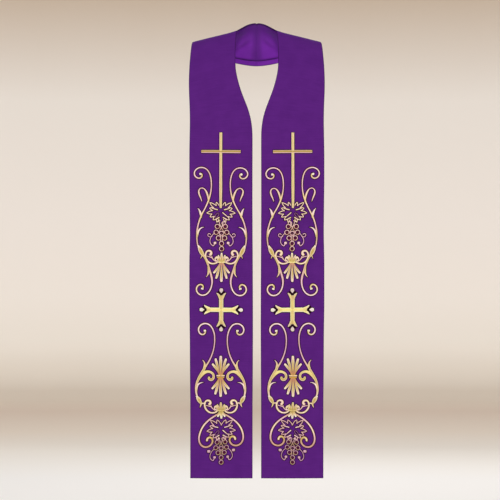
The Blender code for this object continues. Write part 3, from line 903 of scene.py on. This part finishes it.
class Nodes:
    """A node tree in the making."""

    def __init__(self, tree):
        self.nodes = tree.nodes
        self.links = tree.links

    def node(self, kind, settings=None, inputs=None, output=0):
        made = self.nodes.new(kind)
        for name, value in (settings or {}).items():
            if name == "stops":
                self.set_stops(made.color_ramp, value)
            else:
                setattr(made, name, value)
        for socket, value in (inputs or {}).items():
            self.feed(made.inputs[socket], value)
        return Wire(self, made.outputs[output])

    def set_stops(self, ramp, stops):
        while len(ramp.elements) < len(stops):
            ramp.elements.new(1)
        for element, (position, colour) in zip(ramp.elements, stops):
            element.position = position
            element.color = colour

    def feed(self, socket, value):
        if isinstance(value, Wire):
            self.links.new(value.socket, socket)
        else:
            socket.default_value = value

    def kept(self, name, output="Fac"):
        return self.node("ShaderNodeAttribute", {"attribute_name": name}, output=output)

    def place(self, output="Object"):
        return self.node("ShaderNodeTexCoord", output=output)

    def split(self, vector):
        parts = self.node("ShaderNodeSeparateXYZ", None, {0: vector})
        return [Wire(self, output) for output in parts.socket.node.outputs]

    def noise(self, vector, scale, detail=2.0):
        inputs = {"Vector": vector, "Scale": scale, "Detail": detail}
        return self.node("ShaderNodeTexNoise", None, inputs)

    def stretched(self, vector, scale):
        return self.node("ShaderNodeMapping", None, {"Vector": vector, "Scale": scale})

    def between(self, low, high, value):
        """0 below low and 1 above high, eased."""
        inputs = {"Value": value, "From Min": low, "From Max": high}
        return self.node("ShaderNodeMapRange", {"interpolation_type": "SMOOTHSTEP"}, inputs)

    def mix(self, factor, first, second, blend="MIX"):
        settings = {"data_type": "RGBA", "blend_type": blend}
        return self.node("ShaderNodeMix", settings, {0: factor, 6: first, 7: second}, output=2)

    def sine(self, value):
        return self.node("ShaderNodeMath", {"operation": "SINE"}, {0: value})


class Finish(Nodes):
    """A material in the making."""

    def __init__(self, name, colour, **constants):
        self.material = bpy.data.materials.new(name)
        self.material.use_nodes = True
        self.material.diffuse_color = colour
        super().__init__(self.material.node_tree)
        self.shader = self.nodes["Principled BSDF"]
        self.shader.inputs["Base Color"].default_value = colour
        for socket, value in constants.items():
            self.shader.inputs[socket.replace("_", " ")].default_value = value

    def into(self, socket, value):
        self.feed(self.shader.inputs[socket], value)

    def bump(self, height, distance, strength):
        inputs = {"Height": height, "Distance": distance, "Strength": strength}
        self.into("Normal", self.node("ShaderNodeBump", None, inputs))


FACE_DARK = shade(85, 30, 120)
FACE_LIGHT = shade(93, 35, 129)
MARGIN_PAINTED_LIGHT = shade(140, 56, 188)
RIM_PAINTED_SHADE = shade(56, 16, 80)
NECK_PAINTED_SHADE = shade(72, 22, 104)
LINING_LIGHT = shade(141, 49, 191)
LINING_DARK = shade(130, 43, 177)
LINING_PAINTED_SHADE = shade(84, 22, 122)
RIM_REACH = 3.0  # the edge of the cloth, where shade is painted
# the lining's edge, where shade is painted
LINING_RIM_REACH = 3.6
THREAD_PITCH = 0.45  # between neighbouring stitches
WEAVE_PITCH = 0.7
# depths of the bumps, in metres
WEAVE_DEPTH = 0.00012
SATIN_DEPTH = 0.00008
STITCH_DEPTH = 0.00012
# each kind of thread's roughness, metallic share and gloss
THREAD_KINDS = {"gold": (0.38, 0.35, 0.5), "pale": (0.42, 0.15, 0.4), "dark": (0.6, 0.0, 0.1)}

PEARL = shade(255, 250, 240)
BLUSH = shade(255, 232, 238)
SHELL = shade(255, 224, 224)
PINK = shade(244, 200, 216)
ROSE = shade(224, 180, 204)
CREAM = shade(255, 236, 208)
HONEY = shade(246, 218, 152)
STRAW = shade(226, 206, 138)
LEMON = shade(255, 244, 156)
CITRON = shade(255, 255, 216)
OLIVE = shade(208, 186, 96)
KHAKI = shade(186, 160, 82)
OCHRE = shade(204, 160, 104)
TAN = shade(212, 166, 156)
AMBER = shade(206, 164, 62)
COPPER = shade(204, 148, 116)
LILAC = shade(222, 170, 206)
DUSK = shade(188, 144, 166)
MAUVE = shade(160, 98, 168)
WINE = shade(84, 16, 62)
BLACK = shade(7, 5, 6)
STROKE_PAINTED_SHADOW = shade(44, 12, 30)  # painted shadow round each stroke
DYES_AND_PAINTED_LIGHT = ("middle_dye", "side_dye")

# Where the lining's painted shade fades: in metres out from the neck edge or on from the centre of the
# back, but for a fold, by its height in millimetres, and the outer edge, by the way in from it
FOLD_FADE = (-3.6, -0.4)
UNDER_NECK_FADE = (0.008, 0.07)
SEAM_FADE = (0.004, 0.02)
SHOULDER_FADE = (0.14, 0.24)
FRONT_START = (0.044, 0.064)
EDGE_FADE = (1, 9)
EDGE_OUT = (0.03, 0.06)
EDGE_ON = (0.1, 0.2)
MARGIN_START = (0.003, 0.007)  # where the turned margin's painted shade by the neck edge gives way to its painted light, out from the neck edge
# each thread's shades in the middle of its stroke and at its sides, from start to end: partly the
# thread's own colours and partly painted highlight and shade across the stroke
THREADS = {
    "line": ((CREAM,), (TAN,)),
    "twig": ((PINK,), (TAN,)),
    "upper_stem": (
        (PINK, OLIVE, PINK, HONEY, SHELL, HONEY, PINK, SHELL, PINK, BLUSH, SHELL, STRAW),
        (TAN, PINK, TAN, CREAM, TAN, CREAM, TAN, TAN, OCHRE, TAN, TAN, KHAKI),
    ),
    "lower_stem": (
        (CREAM, STRAW, OLIVE, STRAW, PINK, ROSE, PINK, BLUSH, BLUSH, BLUSH, STRAW),
        (PINK, PINK, CREAM, PINK, TAN, TAN, TAN, TAN, TAN, TAN, KHAKI),
    ),
    "volute": (
        (OLIVE, STRAW, PINK, BLUSH, BLUSH, CREAM, STRAW),
        (CREAM, PINK, TAN, TAN, TAN, TAN, KHAKI),
    ),
    "ball": ((PEARL,), (BLUSH,)),
    "hook": ((HONEY, CREAM, PINK, CREAM, PINK), (TAN,)),
    "curl": ((OLIVE, STRAW, LEMON, STRAW, OLIVE, OLIVE), (CREAM, HONEY, CREAM, SHELL, CREAM)),
    "bright_thorn": ((OLIVE, CREAM, BLUSH, SHELL), (CREAM, BLUSH, BLUSH, PINK)),
    "thorn": ((OLIVE, STRAW, HONEY, PINK), (CREAM, CREAM, SHELL, PINK)),
    "bud": ((CREAM, OLIVE, OLIVE, STRAW), (PEARL, SHELL, CREAM, SHELL)),
    "cross": ((STRAW,), (CREAM,)),
    "bar": ((KHAKI,), (PINK,)),
    "arm": ((LEMON, LEMON, LEMON, STRAW), (CITRON,)),
    "flare": ((LEMON, LEMON, CREAM), (CITRON, CITRON, PEARL)),
    "crown": ((OLIVE, OLIVE, CREAM), (CREAM, SHELL, PEARL)),
    "dim_crown": ((KHAKI, OLIVE, STRAW), (STRAW, SHELL, CREAM)),
    "tie": ((LEMON,), (CITRON,)),
    "dim_tie": ((STRAW,), (OLIVE,)),
    "band": ((HONEY,), (BLUSH,)),
    "knot": ((AMBER,), (OCHRE,)),
    "petal": ((OCHRE, COPPER, OLIVE, OLIVE, STRAW, CREAM), (COPPER, PINK, BLUSH, BLUSH, BLUSH)),
    "ray": ((AMBER, COPPER, OLIVE, OLIVE, STRAW, CREAM), (COPPER, COPPER, PINK, BLUSH, BLUSH)),
    "root": ((KHAKI, STRAW, PEARL), (OLIVE, CREAM, PEARL)),
    "heart": ((OCHRE, PINK, PINK, CREAM, CREAM, PINK, TAN, TAN, TAN, OLIVE, CREAM), (TAN, OCHRE)),
    "leaf": ((SHELL, CREAM), (OCHRE,)),
    "vein": ((CREAM, SHELL), (OCHRE,)),
    "dim_leaf": ((ROSE, PINK), (OCHRE,)),
    "dim_vein": ((BLUSH, ROSE), (OCHRE,)),
    "faint": ((MAUVE,), (MAUVE,)),
    "ring": ((PINK, SHELL, COPPER, SHELL), (TAN,)),
    "dim_ring": ((LILAC, DUSK, KHAKI, DUSK), (DUSK,)),
    "tendril": ((PINK, LILAC, LILAC, PINK), (LILAC,)),
    "dim_tendril": ((LILAC, DUSK, LILAC), (DUSK,)),
    "tip": ((SHELL,), (PINK,)),
    "dim_tip": ((ROSE,), (DUSK,)),
    "black": ((BLACK,), (BLACK,)),
    "pearl": ((PEARL,), (PEARL,)),
    "wine": ((WINE,), (WINE,)),
}
# fine lines, with a painted highlight along their crest
CRESTED = ("line", "twig", "upper_stem", "lower_stem", "volute", "hook", "heart")
WARM_TINT = shade(255, 252, 238)
COOL_TINT = shade(255, 246, 252)


def silk_finish(name):
    """Matt face silk: a fine plain weave with faint slubs, with painted shade at its rim and at the
    neck edge of its turned margin, and painted light on the rest of that margin.
    """
    finish = Finish(name, FACE_DARK, Roughness=0.7, Specular_IOR_Level=0.05)
    out, on, _ = finish.split(finish.place("UV"))
    cloud = finish.noise(finish.place(), 26.0, 3.0)
    slub = finish.noise(finish.stretched(finish.place("UV"), (20, 420, 1)), 1.0)
    tone = finish.between(0.3, 0.7, cloud * 0.5 + slub * 0.5)
    face = finish.mix(tone, FACE_DARK, FACE_LIGHT)
    # the turned margin: painted shade by the neck edge, painted light beyond it
    margin = finish.mix(finish.between(*MARGIN_START, out), NECK_PAINTED_SHADE, MARGIN_PAINTED_LIGHT)
    cloth = finish.mix(finish.kept("turned"), face, margin)
    # painted shade along the cloth's rim
    rim = finish.between(0, RIM_REACH, finish.kept("bound"))
    finish.into("Base Color", finish.mix(rim, RIM_PAINTED_SHADE, cloth))
    turns = 2 * math.pi / (WEAVE_PITCH * MM)
    weave = finish.sine(out * turns) * finish.sine(on * turns)
    finish.bump(weave * 0.5 + slub, WEAVE_DEPTH, 0.5)
    return finish.material


def satin_finish(name):
    """Lining satin: smoother and brighter than the face, with painted shade in its folds, along its
    seam, at its rim and edges and where it is hidden.
    """
    finish = Finish(name, LINING_LIGHT, Roughness=0.42, Specular_IOR_Level=0.2)
    out, on, _ = finish.split(finish.place("UV"))
    thread = finish.noise(finish.stretched(finish.place("UV"), (900, 30, 1)), 1.0)
    cloud = finish.noise(finish.place(), 18.0)
    tone = finish.between(0.3, 0.7, cloud * 0.7 + thread * 0.3)
    cloth = finish.mix(tone, LINING_DARK, LINING_LIGHT)
    bound = finish.kept("bound")
    # painted shade in the folds, under the neck edge, along the centre seam, beside the fronts and
    # along the outer edge
    fold = 1 - finish.between(*FOLD_FADE, finish.kept("lift"))
    behind = 1 - finish.between(*SHOULDER_FADE, on)
    under_neck = (1 - finish.between(*UNDER_NECK_FADE, out)) * behind
    by_seam = 1 - finish.between(*SEAM_FADE, on)
    by_front = finish.between(*FRONT_START, on) * behind
    by_edge = (1 - finish.between(*EDGE_FADE, bound)) * finish.between(*EDGE_OUT, out)
    by_edge = by_edge * (1 - finish.between(*EDGE_ON, on))
    for dark in (fold * 0.6, under_neck, by_seam * 0.55, by_front * 0.7, by_edge):
        cloth = finish.mix(dark, cloth, LINING_PAINTED_SHADE)
    # painted shade along the lining's rim
    rim = finish.between(0, LINING_RIM_REACH, bound)
    finish.into("Base Color", finish.mix(rim, RIM_PAINTED_SHADE, cloth))
    finish.bump(thread, SATIN_DEPTH, 0.4)
    return finish.material


def thread_finish(name, roughness, metallic, gloss):
    """Satin stitch in the dyes of each stroke, with painted highlight and shade across it, in a
    painted shadow round its foot, and with threads laid across it.
    """
    finish = Finish(name, HONEY, Roughness=roughness, Metallic=metallic, Specular_IOR_Level=gloss)
    cloud = finish.between(0.35, 0.65, finish.noise(finish.place(), 55.0))
    # painted highlight and shade: middle and side shades mix across the stroke, tilted to one side by
    # `upper`
    middle = finish.between(0.1, 0.65, finish.kept("share") + finish.kept("upper") * 0.3)
    dye_and_light = finish.mix(middle, finish.kept("side_dye", "Color"), finish.kept("middle_dye", "Color"))
    tinted = finish.mix(1, dye_and_light, finish.mix(cloud, WARM_TINT, COOL_TINT), "MULTIPLY")
    raised = finish.between(OUTLINE - 0.2, OUTLINE + 0.6, finish.kept("depth"))
    finish.into("Base Color", tinted)
    lean = finish.kept("along") + finish.kept("over") * 0.25
    finish.bump(finish.sine(lean * (2 * math.pi / THREAD_PITCH)), STITCH_DEPTH, 0.6)
    # the dark matt ring round each stroke is painted shadow
    matt = {"Base Color": STROKE_PAINTED_SHADOW, "Roughness": 1.0, "Specular IOR Level": 0.0}
    painted_shadow = finish.node("ShaderNodeBsdfPrincipled", None, matt)
    thread = Wire(finish, finish.shader.outputs[0])
    whole = finish.node("ShaderNodeMixShader", None, {0: raised, 1: painted_shadow, 2: thread})
    finish.feed(finish.nodes["Material Output"].inputs["Surface"], whole)
    return finish.material


# ---------------------------------------------------------------- the stage and the view


PAPER = shade(232, 226, 219)
PAPER_REACH = 16.0  # metres from the middle of the floor to the end of the ramp
# how far out along the floor and up the wall each shade lies, in metres. The darker shades towards
# the foot of the wall and at its top are painted shade
PAPER_SHADES = (
    (5.2, shade(223, 219, 215)),
    (7.0, shade(225, 217, 207)),
    (8.6, shade(216, 202, 187)),
    (10.7, shade(200, 183, 168)),
    (12.0, shade(199, 187, 173)),
    (12.18, shade(214, 205, 193)),
    (12.4, shade(228, 222, 213)),
    (12.75, PAPER),
    (13.3, shade(229, 223, 217)),
    (14.2, shade(221, 215, 208)),
    (14.94, shade(187, 171, 154)),
)
PAPER_GLOW = 0.3  # painted light: the paper glows, which keeps shadows on it pale


def make_stage():
    """A round pale floor that turns up into a wall, with painted shade in its colour ramp and a
    painted glow.
    """
    bpy.ops.mesh.primitive_circle_add(vertices=96, radius=0.5, fill_type="NGON",
                                      location=(0, 0, FLOOR_Z))
    stage = bpy.context.object
    stage.name = stage.data.name = "stage"
    bpy.ops.object.transform_apply(location=True)
    shell = bmesh.new()
    shell.from_mesh(stage.data)
    edges = [edge for edge in shell.edges if edge.is_boundary]
    profile = [(reach, FLOOR_Z) for reach in np.linspace(1, STAGE_REACH - STAGE_TURN, 14)]
    for turn in np.linspace(15, 90, 6):
        angle = math.radians(turn)
        profile.append((STAGE_REACH - STAGE_TURN + STAGE_TURN * math.sin(angle),
                        FLOOR_Z + STAGE_TURN - STAGE_TURN * math.cos(angle)))
    profile += [(STAGE_REACH, FLOOR_Z + height) for height in np.linspace(0.5, STAGE_HEIGHT, 8)]
    for reach, z in profile:
        grown = bmesh.ops.extrude_edge_only(shell, edges=edges)["geom"]
        for vertex in grown:
            if isinstance(vertex, bmesh.types.BMVert):
                flat = math.hypot(vertex.co.x, vertex.co.y)
                vertex.co = (vertex.co.x * reach / flat, vertex.co.y * reach / flat, z)
        edges = [edge for edge in grown if isinstance(edge, bmesh.types.BMEdge)]
    shell.to_mesh(stage.data)
    shell.free()
    stage.data.shade_smooth()
    finish = Finish("stage_paper", PAPER, Roughness=0.9, Specular_IOR_Level=0.1,
                    Emission_Strength=PAPER_GLOW)
    x, y, z = finish.split(finish.place())
    away = (x * x + y * y) ** 0.5 + (z - FLOOR_Z)
    stops = [(reach / PAPER_REACH, colour) for reach, colour in PAPER_SHADES]
    ramp = finish.node("ShaderNodeValToRGB", {"stops": stops}, {"Fac": away / PAPER_REACH})
    finish.into("Base Color", ramp)
    # the paper's painted glow
    finish.into("Emission Color", ramp)
    stage.data.materials.append(finish.material)


def make_light(name, place, power):
    """A round white softbox that faces the middle of the stole."""
    bpy.ops.object.light_add(type="AREA", location=place)
    light = bpy.context.object
    light.name = light.data.name = name
    light.data.shape = "DISK"
    light.data.size = SOFTBOX_SIZE
    light.data.energy = power
    way = np.array(STOLE_MIDDLE) - np.array(place)
    light.rotation_euler = (math.atan2(math.hypot(way[0], way[1]), -way[2]), 0,
                            math.atan2(way[0], -way[1]) + math.pi)


def make_sky():
    """Even white light, a little weaker from straight above."""
    world = bpy.data.worlds.new("studio")
    world.use_nodes = True
    sky = Nodes(world.node_tree)
    back = sky.nodes["Background"]
    back.inputs["Color"].default_value = (1, 1, 1, 1)
    height = sky.split(sky.place("Generated"))[2]
    overhead = sky.between(0.3, 1.0, height)
    sky.feed(back.inputs["Strength"], SKY_LIGHT - overhead * SKY_LOSS)
    bpy.context.scene.world = world


def make_view():
    bpy.ops.object.camera_add(location=CAMERA_PLACE, rotation=(math.radians(90), 0, 0))
    camera = bpy.context.object
    camera.data.sensor_width = SENSOR
    camera.data.lens = CAMERA_LENS
    camera.data.clip_end = 100
    bpy.context.scene.camera = camera
    make_sky()
    bpy.context.scene.view_settings.view_transform = "Standard"
    make_light("key_softbox", (-3.0, -6.0, 2.2), 90)
    make_light("fill_softbox", (4.0, -5.5, 0.6), 30)
    make_light("back_softbox", (0.9, 6.0, 1.6), 60)


# ---------------------------------------------------------------- the whole


def make_embroidery(halves):
    """Every motif on both fronts. The plain motifs are replaced, and the finer ones are new."""
    gold, pale, dark = (
        {half: thread_finish(f"{half.name}_{kind}_thread", *looks) for half in halves}
        for kind, looks in THREAD_KINDS.items())
    for motif, strokes in MOTIFS.items():
        flat = flat_motif(motif, strokes)
        for half in halves:
            name = f"{half.name}_{motif}_stitches"
            if motif == "cross_chevrons":
                piece = stitched(flat, half, name, dark[half], CHEVRON_HIGHEST)
            elif motif == "cross_buds":
                stitched(flat, half, name, pale[half])
            else:
                piece = stitched(flat, half, name, gold[half])
                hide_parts(f"{half.name}_{motif}")
        bpy.data.objects.remove(flat)
    for vine in VINES:
        outline = flat_motif(vine.name, leaf_strokes(vine) + grape_strokes(vine))
        hearts = flat_motif(vine.name, heart_strokes(vine))
        for half in halves:
            name = f"{half.name}_{vine.name}"
            stitched(outline, half, f"{name}_stitches", pale[half])
            stitched(hearts, half, f"{name}_grape_hearts", dark[half], HEART_HIGHEST)
        bpy.data.objects.remove(outline)
        bpy.data.objects.remove(hearts)


def main():
    halves = [Half("left"), Half("right")]
    for half in halves:
        band = make_band(half, silk_finish(f"{half.name}_face_silk"))
        make_lining(half, satin_finish(f"{half.name}_lining_satin"))
    make_embroidery(halves)
    make_stage()
    make_view()


main()
